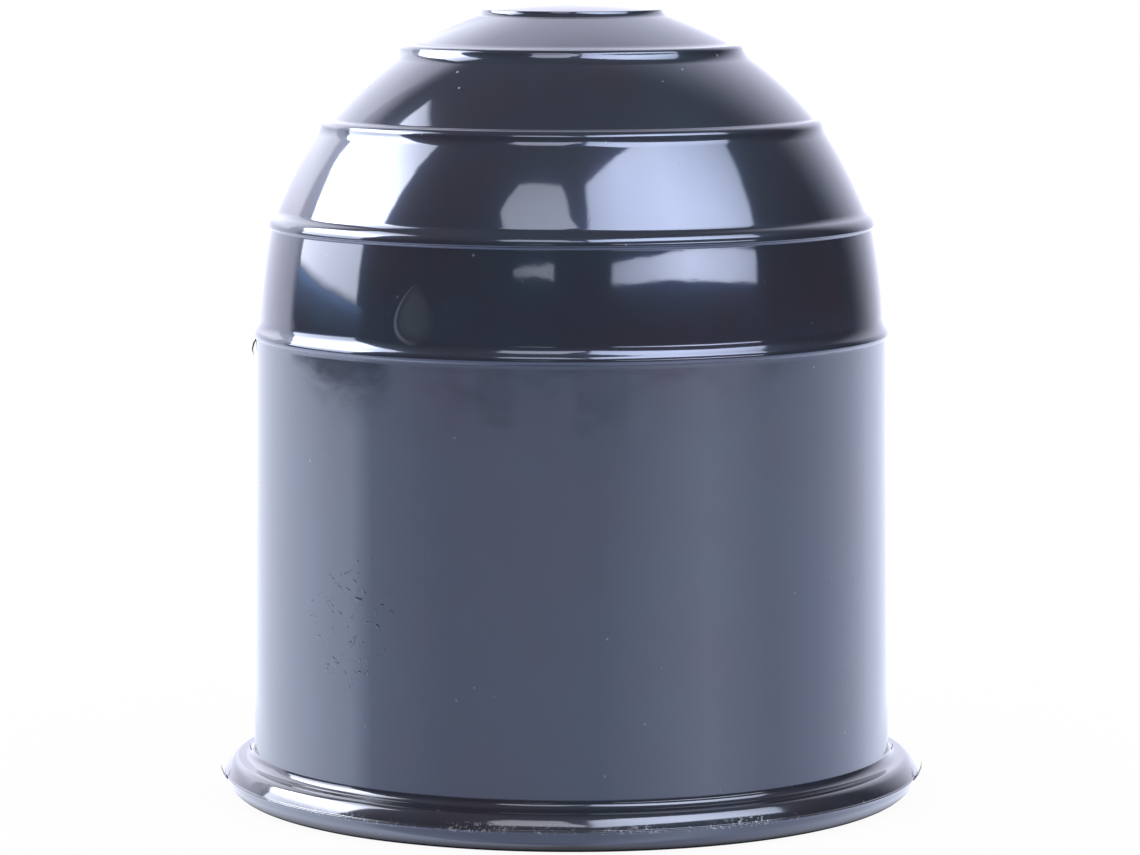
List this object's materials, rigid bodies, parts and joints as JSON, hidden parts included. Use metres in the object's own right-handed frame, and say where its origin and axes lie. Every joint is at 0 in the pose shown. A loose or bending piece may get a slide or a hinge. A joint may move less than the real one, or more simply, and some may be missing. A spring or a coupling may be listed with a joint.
{
  "type": "tow ball cover",
  "caption": "Domed plastic cap with raised rings, a plain skirt and a rolled rim, pushed down over a tow ball to keep its grease in and the weather off.",
  "frame": {"origin": "centre of the rim's underside, on the cap's axis", "axes": "+Z along the cap's axis from the open mouth to the pad on top; +X and +Y in the plane of the rim"},
  "size_m": [0.063, 0.063, 0.0707],
  "materials": {
    "moulded_plastic": "glossy black, as moulded"
  },
  "bodies": {
    "root": {"tow_ball_cap": "moulded_plastic"}
  },
  "joints": []
}
